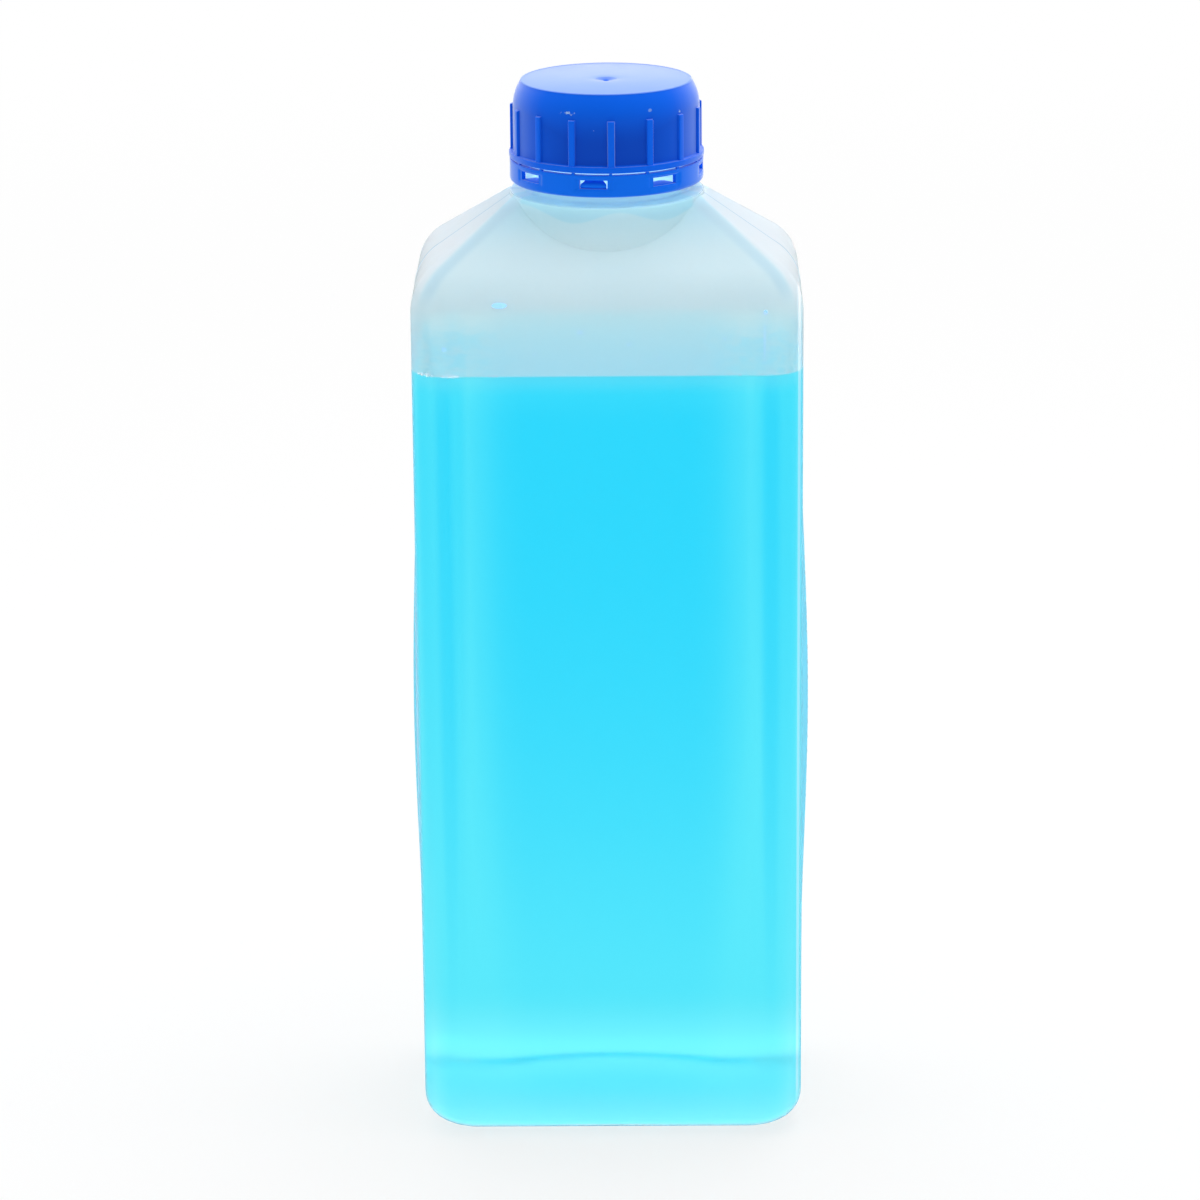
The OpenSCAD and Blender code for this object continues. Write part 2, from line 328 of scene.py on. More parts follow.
def neck_rings(turn):
    """Rings of the skirt's top edge, the ledge, the neck's outside, its mouth and its bore."""
    edge, fillet, lip = 0.6, 0.8, 0.5
    rings = arc_rings(SKIRT_R - edge, LEDGE_Z - edge, edge, 0, 1, 6, turn)
    rings += arc_rings(NECK_R + fillet, LEDGE_Z + fillet, fillet, -1, -2, 6, turn)
    beaded = ((-0.05, 0), (0, 0.25), (0.1, BEAD_OUT - 0.1), (0.25, BEAD_OUT), (BEAD_H / 3, BEAD_OUT),
              (BEAD_H / 2, BEAD_OUT * 0.75), (BEAD_H, 0.05), (BEAD_H + 0.1, 0))
    rings += [circle(NECK_R + out, BEAD_Z + rise, turn) for rise, out in beaded]
    for z in thread_heights(THREAD_Z, THREAD_W, 0.16):
        share = helix_share(z, turn, THREAD_Z, THREAD_W, THREAD_W / 2)
        rings.append(circle(NECK_R + THREAD_OUT * share, z, turn))
    rings += arc_rings(NECK_R - lip, MOUTH_Z - lip, lip, 0, 1, 6, turn)
    rings += arc_rings(BORE_R + lip, MOUTH_Z - lip, lip, 1, 2, 6, turn)
    rings += [circle(BORE_R, z, turn) for z in np.linspace(MOUTH_Z - lip, LEDGE_Z - WALL / 2, 8)[1:]]
    return rings


def skirt_rings(edge, r, top, steps):
    """Upright rings from the foot of the skirt, where it meets the shoulder, to a height."""
    turn = np.arctan2(edge[:, 1], edge[:, 0])
    foot = np.minimum(edge[:, 2] + 0.15, top - 0.1)
    return [circle(r, foot * (1 - share) + top * share, turn) for share in np.linspace(0, 1, steps)]


def body_rings(skin, base_steps, heel_steps, wall_steps, fold_steps):
    """Rings from the base's middle up the walls and round the fold into the shoulder."""
    walls = wall_rings(skin, HEEL_R, fold_start(skin), wall_steps)[1:-1]
    return foot_rings(skin, base_steps, heel_steps) + walls + fold_rings(skin, fold_steps)


def bottle_rings():
    """Every ring of the blown bottle: outside from the base to the mouth, then back down inside."""
    outside = body_rings(0, 10, 12, 50, 14)
    turn = np.arctan2(outside[-1][:, 1], outside[-1][:, 0])
    outside += slope_rings(outside[-1], SKIRT_R + 0.15, 0, 16)
    outside += skirt_rings(outside[-1], SKIRT_R, LEDGE_Z - 0.7, 7)
    inside = body_rings(WALL, 8, 10, 26, 10)
    inside += slope_rings(inside[-1], SKIRT_R - WALL, WALL, 12)
    inside += skirt_rings(inside[-1], SKIRT_R - WALL, LEDGE_Z - WALL, 4)
    return outside + neck_rings(turn) + inside[::-1]


def coolant_rings():
    """The liquid fills the bottle up to its line, and creeps a little up the wall there."""
    skin = WALL + LIQUID_GAP
    rings = foot_rings(skin, 8, 10) + wall_rings(skin, HEEL_R, FILL_Z, 44)[1:]
    reach = BODY_D / 2 - skin - CORNER_MIN
    for inset in (0.15, 0.4, 0.8, 1.3, 2.0, 3.0, 5.0, 9.0, 15.0, 22.0, reach - 1.0):
        z = FILL_Z - MENISCUS * (1 - math.exp(-inset / MENISCUS_REACH))
        rings.append(with_z(outline(inset, FILL_Z, skin), z))
    return rings


def loft(rings):
    """Vertices and faces of a closed solid through rings of equal length, with a fan over each end."""
    n = len(rings[0])
    last = len(rings) - 1
    points = np.concatenate(rings + [rings[0].mean(0)[None], rings[last].mean(0)[None]])
    j = np.arange(n)
    after = (j + 1) % n
    faces = []
    for i in range(last):
        faces += np.stack([i * n + j, i * n + after, (i + 1) * n + after, (i + 1) * n + j], 1).tolist()
    centre = (last + 1) * n
    faces += [[centre, b, a] for a, b in zip(j.tolist(), after.tolist())]
    faces += [[centre + 1, last * n + a, last * n + b] for a, b in zip(j.tolist(), after.tolist())]
    return points, faces


def front_turn(degrees):
    """A turn round the axis in radians, from one counted in degrees from the front."""
    return np.radians(np.asarray(degrees) - 90)


# Places across a grip rib, and how far it stands out at places across a rib 1.5 mm wide
RIB_ACROSS = (-0.95, -0.8, -0.74, -0.66, -0.5, 0, 0.5, 0.66, 0.74, 0.8, 0.95)
RIB_SECTION = ((0, 1), (0.5, 1), (0.66, 0.95), (0.72, 0.75), (0.8, 0.06), (0.95, 0))


def cap_columns():
    """Turns round the cap, close together over the grip ribs, and how far a rib stands out at each."""
    across = np.array(RIB_ACROSS)
    stands = np.interp(np.abs(across) * RIB_W / 1.5, *zip(*RIB_SECTION))
    spread = np.degrees(across / (CAP_R + RIB_OUT))
    pitch = 360 / RIB_COUNT
    between = np.linspace(spread[-1], spread[0] + pitch, 8)[1:-1]
    turns, ribs = [], []
    for k in range(RIB_COUNT):
        turns += [front_turn(RIB_TURN + pitch * k + spread), front_turn(RIB_TURN + pitch * k + between)]
        ribs += [stands, np.zeros(len(between))]
    return np.concatenate(turns), np.concatenate(ribs)


def cap_inside(turn):
    """Rings from the middle of the plate's underside to the bore's lower edge, with the thread."""
    fillet, lead_in = 0.6, 0.5
    rings = [circle(r, PLATE_Z, turn) for r in (0.5, 6, 12, 16, CAP_BORE_R - fillet)]
    rings += arc_rings(CAP_BORE_R - fillet, PLATE_Z - fillet, fillet, 1, 0, 5, turn)[1:]
    start_z = THREAD_Z - CAP_THREAD_DROP
    for z in thread_heights(start_z, CAP_THREAD_W, 0.16)[::-1]:
        share = helix_share(z, turn, start_z, CAP_THREAD_W, CAP_THREAD_W / 2)
        rings.append(circle(CAP_BORE_R - CAP_THREAD_OUT * share, z, turn))
    rings.append(circle(CAP_BORE_R, FLANGE_Z + lead_in + 0.1, turn))
    rings.append(circle(CAP_BORE_R + lead_in, FLANGE_Z + 0.05, turn))
    return rings


def cap_outside(turn, rib):
    """Rings from the flange's underside up the ribbed wall and the curved taper to the top's edge."""
    edge, fillet = 0.3, 0.35
    top = FLANGE_Z + FLANGE_H
    rib_out = CAP_R + RIB_OUT
    rings = [circle(CAP_BORE_R + 0.6, FLANGE_Z, turn)]
    rings += arc_rings(FLANGE_R - edge, FLANGE_Z + edge, edge, -1, 0, 5, turn)
    rings += arc_rings(FLANGE_R - edge, top - edge, edge, 0, 1, 5, turn)
    for a in np.linspace(0, math.pi / 2, 5):
        r = CAP_R + fillet - fillet * math.sin(a)
        rings.append(circle(r + np.maximum(0, rib_out - r) * rib, top + fillet - fillet * math.cos(a), turn))
    rib_top = CAP_TOP_Z - RIB_DROP
    taper_z = CAP_TOP_Z - TAPER_H
    for z in np.linspace(top + fillet, taper_z - 0.3, 6)[1:]:
        rings.append(circle(CAP_R + RIB_OUT * rib, z, turn))
    drop = TAPER_H - edge
    bow = (TAPER_IN ** 2 + drop ** 2) / (2 * TAPER_IN)
    rib_end = (-0.3, -0.12, -0.02, 0.04)
    heights = [rib_top + rise for rise in rib_end]
    for z in [*heights, *np.linspace(rib_top + 0.35, CAP_TOP_Z - 0.32, 12)]:
        r = CAP_R - arc_inset(bow, max(0, z - taper_z))
        stands = np.interp(z - rib_top, rib_end, [1, 0.93, 0.6, 0])
        rings.append(circle(r + (rib_out - r) * rib * stands, z, turn))
    return rings


def cap_top(turn):
    """Rings from the top's rounded edge over its thin rim and flat disc to the gate dimple."""
    edge = 0.3
    r = CAP_R - TAPER_IN
    rings = [circle(r - edge + (edge + 0.03) * math.cos(a), CAP_TOP_Z - edge + edge * math.sin(a), turn)
             for a in np.linspace(0.15, math.pi / 2, 6)]
    inner = r - edge - RIM_W
    rings += [circle(inner + RIM_W / 2, CAP_TOP_Z, turn), circle(inner + 0.2, CAP_TOP_Z - 0.04, turn)]
    for at in (inner - 0.2, inner - 0.5, 15, 12, 9, 6, 4.4, 3.2, 2.4, 2.0, 1.6, 1.2, 0.8, 0.55, 0.4, 0.2):
        fall = RIM_H + DIMPLE_DEPTH * math.exp(-(at / (0.62 * DIMPLE_R)) ** 2)
        fall += 0.04 * math.exp(-(at / 5) ** 2) + DIMPLE_NIB * float(1 - smooth(0.2, 0.8, at))
        rings.append(circle(at, CAP_TOP_Z - fall, turn))
    return rings


def cap_rings():
    turn, rib = cap_columns()
    return cap_inside(turn) + cap_outside(turn, rib) + cap_top(turn)


def grid_faces(grid, keep):
    """Quads of a grid of vertex numbers that closes round its second direction, where keep is true."""
    after = np.roll(grid, -1, 1)
    quads = np.stack([grid[:-1], after[:-1], after[1:], grid[1:]], -1)
    return quads[keep].tolist()


# Columns of the band round one window: turns from the window's middle
HALF_COLUMNS = (2.5, 5, 7.6, WINDOW_HALF_TURN, 10.4, RECESS_HALF_TURN, 11.9, 13.5, 16, 19)
BAND_COLUMNS = (-22.5, *(-turn for turn in reversed(HALF_COLUMNS)), 0, *HALF_COLUMNS)


def band_rows():
    """Heights of the band's rows, and how far each lies inside the band's full radius."""
    edge = 0.9
    rows = [(BAND_Z + (edge - edge * math.cos(a)), edge - edge * math.sin(a))
            for a in np.linspace(0.2, math.pi / 2, 6)]
    rows += [(WINDOW_LOW_Z + rise, 0) for rise in (-0.5, -0.2, 0, 0.3, 0.9)]
    rows += [(WINDOW_TOP_Z + rise, 0) for rise in (-0.3, 0, 0.15, 0.45)]
    return np.array(rows + [(BAND_TOP_Z - 0.15, 0), (BAND_TOP_Z, 0.15)]).T


def window_sides(hole, out, back):
    """Faces through the wall round each window, between the vertex numbers of its two sides."""
    faces = []
    for i, j in np.argwhere(hole):
        k = (j + 1) % hole.shape[1]
        if not hole[i - 1, j]:
            faces.append([out[i, j], out[i, k], back[i, k], back[i, j]])
        if not hole[i + 1, j]:
            faces.append([back[i + 1, j], back[i + 1, k], out[i + 1, k], out[i + 1, j]])
        if not hole[i, j - 1]:
            faces.append([out[i, j], back[i, j], back[i + 1, j], out[i + 1, j]])
        if not hole[i, k]:
            faces.append([back[i, k], out[i, k], out[i + 1, k], back[i + 1, k]])
    return faces


def band_mesh():
    """The ring under the cap, with its windows cut through it."""
    pitch = 360 / WINDOW_COUNT
    columns = np.array(BAND_COLUMNS)
    turn = np.concatenate([front_turn(WINDOW_TURN + pitch * k + columns) for k in range(WINDOW_COUNT)])
    offset = np.tile(columns, WINDOW_COUNT)
    z, inset = band_rows()
    across = 1 - smooth(10.4, 11.9, np.abs(offset))
    ends = smooth(WINDOW_TOP_Z + 0.15, WINDOW_TOP_Z + 0.45, z)
    along = smooth(WINDOW_LOW_Z - 0.5, WINDOW_LOW_Z - 0.2, z) * (1 - ends)
    outer = BAND_R - inset[:, None] - RECESS_DEPTH * along[:, None] * across[None, :]
    low, high = np.searchsorted(z, [WINDOW_LOW_Z - 0.01, WINDOW_TOP_Z - 0.01])
    hole = np.zeros((len(z) - 1, len(turn)), bool)
    columns = (offset >= -WINDOW_HALF_TURN - 0.01) & (offset < WINDOW_HALF_TURN - 0.01)
    hole[low:high, columns] = True
    sheet = np.concatenate([circle(r, at, turn) for r, at in zip(outer, z)])
    lining = np.concatenate([circle(BAND_BORE_R, at, turn) for at in z])
    out = np.arange(len(sheet)).reshape(outer.shape)
    back = out + len(sheet)
    faces = grid_faces(out, ~hole) + [quad[::-1] for quad in grid_faces(back, ~hole)]
    whole = np.ones((1, len(turn)), bool)
    faces += grid_faces(np.stack([back[0], out[0]]), whole)
    faces += grid_faces(np.stack([out[-1], back[-1]]), whole)
    faces += window_sides(hole, out, back)
    return np.concatenate([sheet, lining]), [[int(v) for v in face] for face in faces]


# Corners of a tab's section: share of its half width, and 1 on its outer or 0 on its inner face
TAB_SECTION = ((-1, 1), (-0.6, 1), (0, 1), (0.6, 1), (1, 1), (1, 0), (0.6, 0), (0, 0), (-0.6, 0), (-1, 0))


def tab_rings(turn, lift):
    """A curved flap folded in from the lower edge of a window; lift is how high it still stands."""
    thick = 0.5
    half = math.radians(WINDOW_HALF_TURN - 0.6)
    rings = []
    for s in np.linspace(0, 1, 9):
        sides = half * (1 - 0.25 * float(smooth(0.55, 1, s)))
        bulge = max(0, lift) * math.sin(math.pi * min(1, s * 1.1))
        r = BAND_R - 0.65 + 0.55 * bulge - 1.5 * s * s * (1.15 - 0.5 * lift)
        z = WINDOW_LOW_Z + (0.75 + lift) * s
        section = []
        for share, side in TAB_SECTION:
            at = turn + sides * share
            radius = r - (0 if side else thick * (1 - 0.4 * s)) - 0.12 * share * share
            height = z + 0.22 * (1 - share * share) * s
            section.append((radius * math.cos(at), radius * math.sin(at), height))
        rings.append(np.array(section))
    return rings


def bridge_rings(turn):
    """A thin moulded bridge between the band and the cap's flange."""
    outer, inner = BAND_R - 0.15, BAND_R - 0.75
    rings = []
    for rise, grow in ((-0.25, 1.2), (0.0, 1.0), (0.18, 0.8), (0.37, 0.9)):
        half = BRIDGE_W / 2 * grow / BAND_R
        corners = ((outer, -half), (outer, half), (inner, half), (inner, -half))
        rings.append(np.array([(r * math.cos(turn + a), r * math.sin(turn + a), BAND_TOP_Z + rise)
                               for r, a in corners]))
    return rings


def joined(parts):
    """One mesh out of several."""
    points, faces, start = [], [], 0
    for some, quads in parts:
        points.append(np.asarray(some))
        faces += [[v + start for v in face] for face in quads]
        start += len(some)
    return np.concatenate(points), faces


def tab_lift(k):
    """The tab beside the front rib stands up; the others are pressed in, each a little differently."""
    return 0.95 if k == 0 else 0.05 * math.sin(2.1 * k) - 0.45


def band_parts():
    parts = [band_mesh()]
    for k in range(WINDOW_COUNT):
        turn = float(front_turn(WINDOW_TURN + 360 / WINDOW_COUNT * k))
        parts.append(loft(tab_rings(turn, tab_lift(k))))
    for k in range(BRIDGE_COUNT):
        parts.append(loft(bridge_rings(float(front_turn(BRIDGE_TURN + 360 / BRIDGE_COUNT * k)))))
    return joined(parts)


# Beads on the inside of the front wall above the line: place across, height, half width, half height
DROPLETS = ((-24.5, 205.0, 1.7, 0.65), (-6.1, 198.6, 0.7, 0.4), (-37.3, 194.8, 0.5, 0.4),
            (5.1, 195.7, 0.5, 0.3), (36.3, 203.0, 0.45, 0.6), (12.0, 192.4, 0.3, 0.25),
            (-16.5, 193.5, 0.35, 0.25), (27.0, 197.0, 0.3, 0.3))
STREAK_X = 36.1
STREAK_Z = (190.5, 201.0)
STREAK_HALF_W = 0.14
STREAK_DEPTH = 0.1

# Bubbles that cling to the front wall on the liquid's line: place across and radius
BUBBLES = ((-43.2, 0.4), (-42.3, 0.6), (-41.1, 0.7), (-40.1, 0.45), (-37.6, 0.5), (-36.6, 0.65),
           (-35.4, 0.75), (-34.3, 0.45), (-26.9, 0.35), (-26.1, 0.45), (-25.3, 0.35), (30.5, 0.35))
BEAD_STEPS = 16


def inner_front_y(x, z):
    """Where the front wall's inside lies at a place across and a height."""
    ring = outline(0, z, WALL)
    front = ring[ring[:, 1] < 0]
    order = np.argsort(front[:, 0])
    return float(np.interp(x, front[order, 0], front[order, 1]))


def bead(x, z, half_w, half_h, height):
    """A bead on the inside of the front wall: an oval dome, with its back a little in the wall."""
    turn = np.linspace(0, 2 * math.pi, BEAD_STEPS, endpoint=False)[::-1]
    wall_y = inner_front_y(x, z)
    rings = []
    for rise in (-0.12, 0.0, 0.35, 0.7, 0.92, 1.0):
        share = math.sqrt(max(0.02, 1 - max(0, rise) ** 2))
        ring = [x + half_w * share * np.cos(turn), np.full(BEAD_STEPS, wall_y + height * rise),
                z + half_h * share * np.sin(turn)]
        rings.append(np.column_stack(ring))
    return loft(rings)


def droplet_parts():
    """The beads above the line and one long streak."""
    low, high = STREAK_Z
    streak = bead(STREAK_X, (low + high) / 2, STREAK_HALF_W, (high - low) / 2, STREAK_DEPTH)
    return joined([bead(x, z, w, h, min(w, h) * 0.6) for x, z, w, h in DROPLETS] + [streak])


def bubble_parts():
    return joined([bead(x, FILL_Z + 0.35 * r, r, r * 0.7, r * 0.8) for x, r in BUBBLES])


# Raised level marks down the right side wall
TICK_COUNT = 29
TICK_PITCH = 3.7
TICK_Z = 32.0
TICK_HALF_L = 3.5
TICK_OUT = 0.1


def side_face(y, z):
    """Where the right side wall's outside lies."""
    arch = 1 - (y / (BODY_D / 2 - CORNER_R)) ** 2
    return BODY_W / 2 + SIDE_BULGE * swell(z) * arch - SIDE_PANEL * panel(z)


def tick_parts():
    parts = []
    for k in range(TICK_COUNT):
        z = TICK_Z + TICK_PITCH * k
        rings = []
        for along in np.linspace(-1, 1, 7):
            y = along * TICK_HALF_L
            out = TICK_OUT * min(1, 6 * (1 - abs(along)) + 0.3)
            section = ((-0.15, -0.42), (out * 0.4, -0.34), (out, -0.16),
                       (out, 0.16), (out * 0.4, 0.34), (-0.15, 0.42))
            rings.append(np.array([(side_face(y, z) + depth, y, z + rise) for depth, rise in section]))
        parts.append(loft(rings))
    return joined(parts)


def liner_rings():
    """The sealing disc, with the groove that the neck's rim presses into its underside."""
    turn = np.linspace(0, 2 * math.pi, 96, endpoint=False)
    r, edge, groove = LINER_HIGH.x, 0.2, 0.12
    low, high = LINER_LOW.z, LINER_HIGH.z
    sunk = low + groove
    profile = [(1, sunk), (10, sunk), (BORE_R - 0.6, sunk), (BORE_R, low + groove * 0.9),
               (BORE_R + 0.4, sunk), (NECK_R - 0.4, sunk), (NECK_R, low + groove * 0.5),
               (NECK_R + 0.4, low), (r - edge, low), (r - 0.05, low + edge / 2), (r, low + edge),
               (r, high - edge), (r - 0.05, high - edge / 2), (r - edge, high), (15, high), (8, high),
               (1, high)]
    return [circle(at, z, turn) for at, z in profile]


def add_object(name, data):
    obj = bpy.data.objects.new(name, data)
    SCENE.collection.objects.link(obj)
    return obj


def make_piece(name, points, faces, material, body, slot):
    """Adds a mesh in millimetres to the scene, on its body; the slot is not used."""
    mesh = bpy.data.meshes.new(name)
    mesh.from_pydata((np.asarray(points) * MM).tolist(), [], faces)
    mesh.update()
    mesh.polygons.foreach_set("use_smooth", [True] * len(mesh.polygons))
    mesh.set_sharp_from_angle(angle=math.radians(35))
    mesh.materials.append(material)
    obj = add_object(name, mesh)
    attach(obj, body)
    return obj


class Nodes:
    """A short way to build a node tree."""

    def __init__(self, tree):
        self.tree = tree
        tree.nodes.clear()

    def add(self, kind, **values):
        node = self.tree.nodes.new(kind)
        for key, value in values.items():
            if key.startswith("in_"):
                self.fill(node.inputs[int(key[3:])], value)
            else:
                setattr(node, key, value)
        return node

    def named(self, kind, values):
        """A node with its sockets filled by name."""
        node = self.tree.nodes.new(kind)
        for name, value in values.items():
            self.fill(node.inputs[name], value)
        return node

    def fill(self, socket, value):
        """Links an output to a socket, or gives the socket a fixed value."""
        if isinstance(value, bpy.types.NodeSocket):
            self.tree.links.new(value, socket)
        else:
            socket.default_value = value


def new_material(name):
    material = bpy.data.materials.new(name)
    material.use_nodes = True
    return material, Nodes(material.node_tree)


def smooth_step(n, value, low, high):
    """Smooth rise from 0 to 1 as a value goes from low to high."""
    curve = "SMOOTHSTEP"
    return n.add("ShaderNodeMapRange", interpolation_type=curve, in_0=value, in_1=low, in_2=high).outputs[0]


def step_mm(n, value, low, high):
    """Smooth rise from 0 to 1 between two lengths in millimetres."""
    return smooth_step(n, value, low * MM, high * MM)


def window(n, value, low, high, soft):
    """1 between two lengths and 0 outside them, with soft ends; all in millimetres."""
    return times(n, step_mm(n, value, low - soft, low), step_mm(n, value, high + soft, high))


def ramp(n, value, *stops):
    """A straight-line curve through (place, height) stops, each between 0 and 1."""
    node = n.add("ShaderNodeValToRGB", in_0=value)
    elements = node.color_ramp.elements
    for k, (place, height) in enumerate(stops):
        element = elements[k] if k < 2 else elements.new(place)
        element.position = place
        element.color = (height, height, height, 1)
    return node.outputs[0]


def maths(n, operation, a, b=0.0):
    return n.add("ShaderNodeMath", operation=operation, in_0=a, in_1=b).outputs[0]


def times(n, a, b):
    return maths(n, "MULTIPLY", a, b)


def plus(n, a, b):
    return maths(n, "ADD", a, b)


def minus(n, a, b):
    return maths(n, "SUBTRACT", a, b)


def absolute(n, value):
    return maths(n, "ABSOLUTE", value)


def product_sum(n, a, b, c, clamped=False):
    """a times b plus c, kept between 0 and 1 if asked."""
    node = n.add("ShaderNodeMath", operation="MULTIPLY_ADD", use_clamp=clamped, in_0=a, in_1=b, in_2=c)
    return node.outputs[0]


def blend(n, share, low, high):
    """Number that goes from low to high with a share."""
    return n.add("ShaderNodeMix", in_0=share, in_2=low, in_3=high).outputs[0]


def rgba(value):
    """A fixed colour with its alpha; anything else as it is."""
    return (*value, 1) if isinstance(value, tuple) else value


def tint(n, share, low, high):
    """Colour that goes from low to high with a share."""
    node = n.add("ShaderNodeMix", data_type="RGBA", in_0=share, in_6=rgba(low), in_7=rgba(high))
    return node.outputs[2]


def facing_away(n, low, high):
    """Smooth rise from 0 to 1 as the surface turns away from the line of sight."""
    return smooth_step(n, n.add("ShaderNodeLayerWeight", in_0=0.5).outputs["Facing"], low, high)


def noise(n, place, scale, detail=3.0, rough=0.5):
    """Noise from 0 to 1; scale counts its lumps per metre."""
    return n.add("ShaderNodeTexNoise", in_0=place, in_2=scale, in_3=detail, in_4=rough).outputs[0]


def bump(n, height, depth, below=None):
    """Fine relief, with its height from 0 to 1 over a depth in millimetres, on top of other relief."""
    values = {"Strength": 1.0, "Distance": depth * MM, "Height": height}
    if below is not None:
        values["Normal"] = below
    return n.named("ShaderNodeBump", values).outputs[0]


def surface(n, values):
    """A Principled surface with fixed values or outputs by socket name; returns the tree's output."""
    filled = {name: rgba(value) for name, value in values.items()}
    bsdf = n.named("ShaderNodeBsdfPrincipled", filled)
    return n.named("ShaderNodeOutputMaterial", {"Surface": bsdf.outputs[0]})


def placed(n):
    """Object coordinates, whole and apart."""
    place = n.add("ShaderNodeTexCoord").outputs["Object"]
    apart = n.add("ShaderNodeSeparateXYZ", in_0=place)
    return place, apart.outputs[0], apart.outputs[1], apart.outputs[2]


def from_walls(n, x, y):
    """Distances inwards from the side walls and from the long walls, in metres."""
    return minus(n, BODY_W / 2 * MM, absolute(n, x)), minus(n, BODY_D / 2 * MM, absolute(n, y))


def from_corner(n, x, y):
    """Distance along a wall from the nearest upright corner, in metres."""
    return maths(n, "MAXIMUM", *from_walls(n, x, y))


def hip_distance(n, x, y):
    """Above 0 on the front and back shoulders, below 0 on the side ones, and 0 where their planes meet."""
    return minus(n, *from_walls(n, x, y))


# Shell: how clear it is where wet, how much that clouds over just below the line, how clear it is seen
# edge on, and how clear it is where dry, at least and at most
WET_CLEAR = 0.983
CLOUD_SHARE = 0.08
CLOUD_H = 5
GRAZED_CLEAR = 0.4
GRAZED_FROM = (0.75, 0.95)
DRY_CLEAR = (0.56, 0.68)
SHELL_ROUGH = (0.3, 0.5)
STIPPLE_STRETCH = (0.6, 0.6, 1.5)
STIPPLE_DEPTH = 0.02
PATCH_DEPTH = 0.2
# How much the beads of liquid on the dry wall clear it and tint it
BEADED_CLEAR = 0.16
BEADED_TINT = 0.14

DRY_COLOUR = (0.87, 0.962, 0.985)
BEADED_COLOUR = (0.6, 0.82, 0.95)
WET_COLOUR = (0.55, 0.93, 1.0)
# Painted light: the cap's blue light near the cap, and the liquid's light just above its line
CAP_BLUE_LIGHT_COLOUR = (0.62, 0.88, 0.97)
LINE_LIGHT_COLOUR = (0.8, 0.935, 1.0)
# Painted light: paler in the wet foot and down the corners, where more light gets through
FOOT_LIGHT_COLOUR = (0.95, 0.985, 1.0)
# Painted shade along the shoulder's ridges
HIP_SHADE_COLOUR = (0.75, 0.88, 0.94)
# Painted light: the side shoulders a less blue white, matched to the light that falls on them
SIDE_SHOULDER_LIT_COLOUR = (0.95, 0.955, 0.975)
# Painted light: deep cyan on the wet wall seen edge on, for the liquid's light seen through it
GRAZED_WALL_LIGHT_COLOUR = (0.1, 0.74, 1.0)
SEAM_COLOUR = (0.5, 0.66, 0.78)

# Blue light from the cap inside the skirt reaches down to a wavy line
BLUE_EDGE_Z = 222.9
BLUE_WAVE = 1.3
BLUE_WAVE_LENGTH = 21.4
BLUE_WAVE_START = 0.69

# Faint light in the skirt and the neck
NECK_GLOW = (0.6, 0.86, 0.95)
SKIRT_GLOW_SHARE = 0.07
NECK_GLOW_SHARE = 0.25

# The upright corners' bright edge lines: their shift and reach across, their reach in height, and the
# light they add where the wall is wet and where it is dry
EDGE_LINE_SHIFT = 0.7
EDGE_LINE_X = (44.65, 45.2)
EDGE_LINE_Z = (12.0, 206.0)
EDGE_GLOW = (1.0, 0.15, 0.05)
DRY_EDGE_GLOW = (1.0, 0.7, 0.6)
EDGE_GLOW_SHARE = 0.13


def edge_line(n, x, y, z):
    """Where each upright corner meets its side wall, a thin line that catches the light."""
    shifted = plus(n, x, EDGE_LINE_SHIFT * MM)
    across = window(n, absolute(n, shifted), *EDGE_LINE_X, 0.15)
    corner = maths(n, "GREATER_THAN", absolute(n, y), (BODY_D / 2 - CORNER_R - 5) * MM)
    return times(n, times(n, across, corner), window(n, z, *EDGE_LINE_Z, 6.0))


def hip(n, x, y, z):
    """The four soft ridges where the shoulder's planes meet, where shade is painted."""
    height = window(n, z, SHOULDER_Z + 1, LEDGE_Z - 1, 6.0)
    return times(n, window(n, hip_distance(n, x, y), 0.0, 2.0, 3.0), height)


def shoulder_seam(n, y, z):
    """The mould's parting line over the side shoulders."""
    return times(n, step_mm(n, absolute(n, y), 0.4, 0.15), window(n, z, SHOULDER_Z - 2, LEDGE_Z, 3.0))


def blue_light(n, x, z):
    """Share of the cap's blue that the plastic passes on, in the skirt and above it."""
    wave = product_sum(n, x, 2 * math.pi / (BLUE_WAVE_LENGTH * MM), BLUE_WAVE_START)
    edge = product_sum(n, maths(n, "SINE", wave), BLUE_WAVE * MM, BLUE_EDGE_Z * MM)
    return step_mm(n, minus(n, z, edge), -0.25, 0.35)


def condensation(n, x, y, z):
    """Where fine beads cling inside the dry front wall: beside the corners, just above the line."""
    beside = step_mm(n, absolute(n, x), 18, 34)
    height = step_mm(n, z, FILL_Z + 15, FILL_Z + 8)
    return times(n, times(n, beside, height), step_mm(n, y, -22, -28))


def dry_colour(n, x, y, z, dim):
    """Dry plastic, bluer near the cap, the liquid's line and the shoulder's ridges: painted light and shade.
    """
    corner = step_mm(n, from_corner(n, x, y), 0.5, 6)
    # Painted light from the liquid, just above its line
    near_line = times(n, step_mm(n, z, FILL_Z + 16, FILL_Z), corner)
    colour = tint(n, near_line, DRY_COLOUR, LINE_LIGHT_COLOUR)
    colour = tint(n, times(n, dim, BEADED_TINT), colour, BEADED_COLOUR)
    sideways = step_mm(n, hip_distance(n, x, y), 0, -4)
    side = times(n, sideways, step_mm(n, z, SHOULDER_Z - 8, SHOULDER_Z + 2))
    colour = tint(n, side, colour, SIDE_SHOULDER_LIT_COLOUR)
    # Painted blue light from the cap, down to the wavy line
    near_cap = times(n, plus(n, step_mm(n, z, LEDGE_Z - 12, LEDGE_Z), blue_light(n, x, z)), 0.5)
    near_cap = times(n, near_cap, minus(n, 1.0, times(n, side, 0.8)))
    colour = tint(n, near_cap, colour, CAP_BLUE_LIGHT_COLOUR)
    colour = tint(n, hip(n, x, y, z), colour, HIP_SHADE_COLOUR)
    return tint(n, shoulder_seam(n, y, z), colour, SEAM_COLOUR)


